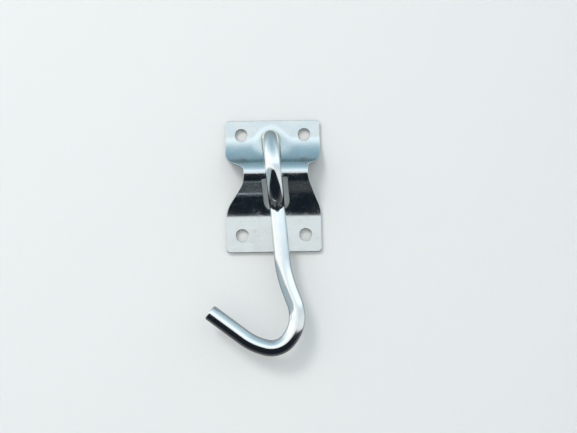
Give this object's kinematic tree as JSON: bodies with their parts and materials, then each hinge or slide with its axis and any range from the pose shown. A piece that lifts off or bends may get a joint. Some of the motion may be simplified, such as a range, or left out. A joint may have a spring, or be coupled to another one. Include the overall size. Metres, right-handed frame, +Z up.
{
  "type": "hammock hook",
  "caption": "Wall-mounted hammock hook: a stamped plate with a raised bridge, and a bent rod whose closed eye hangs on it and ends in an open J.",
  "frame": {"origin": "middle of the four screw holes, on the plate's back face", "axes": "+X to the right and +Z up as the plate is fixed; +Y points into the wall, so the front faces -Y"},
  "size_m": [0.0515, 0.0255, 0.105],
  "materials": {
    "plate_zinc": "bright zinc plate on stamped sheet, with drawing lines and light scratches",
    "rod_zinc": "bright zinc plate on drawn rod, with a light bluish cast"
  },
  "bodies": {
    "plate": {"wall_plate": "plate_zinc"},
    "hook": {"hook": "rod_zinc"}
  },
  "joints": [
    {"name": "hook_swing", "type": "hinge", "parent": "plate", "child": "hook", "pos_m": [0, -0.0175, 0.0095], "axis": [-0.9965, 0, -0.0837], "range_deg": [0, 70]}
  ]
}
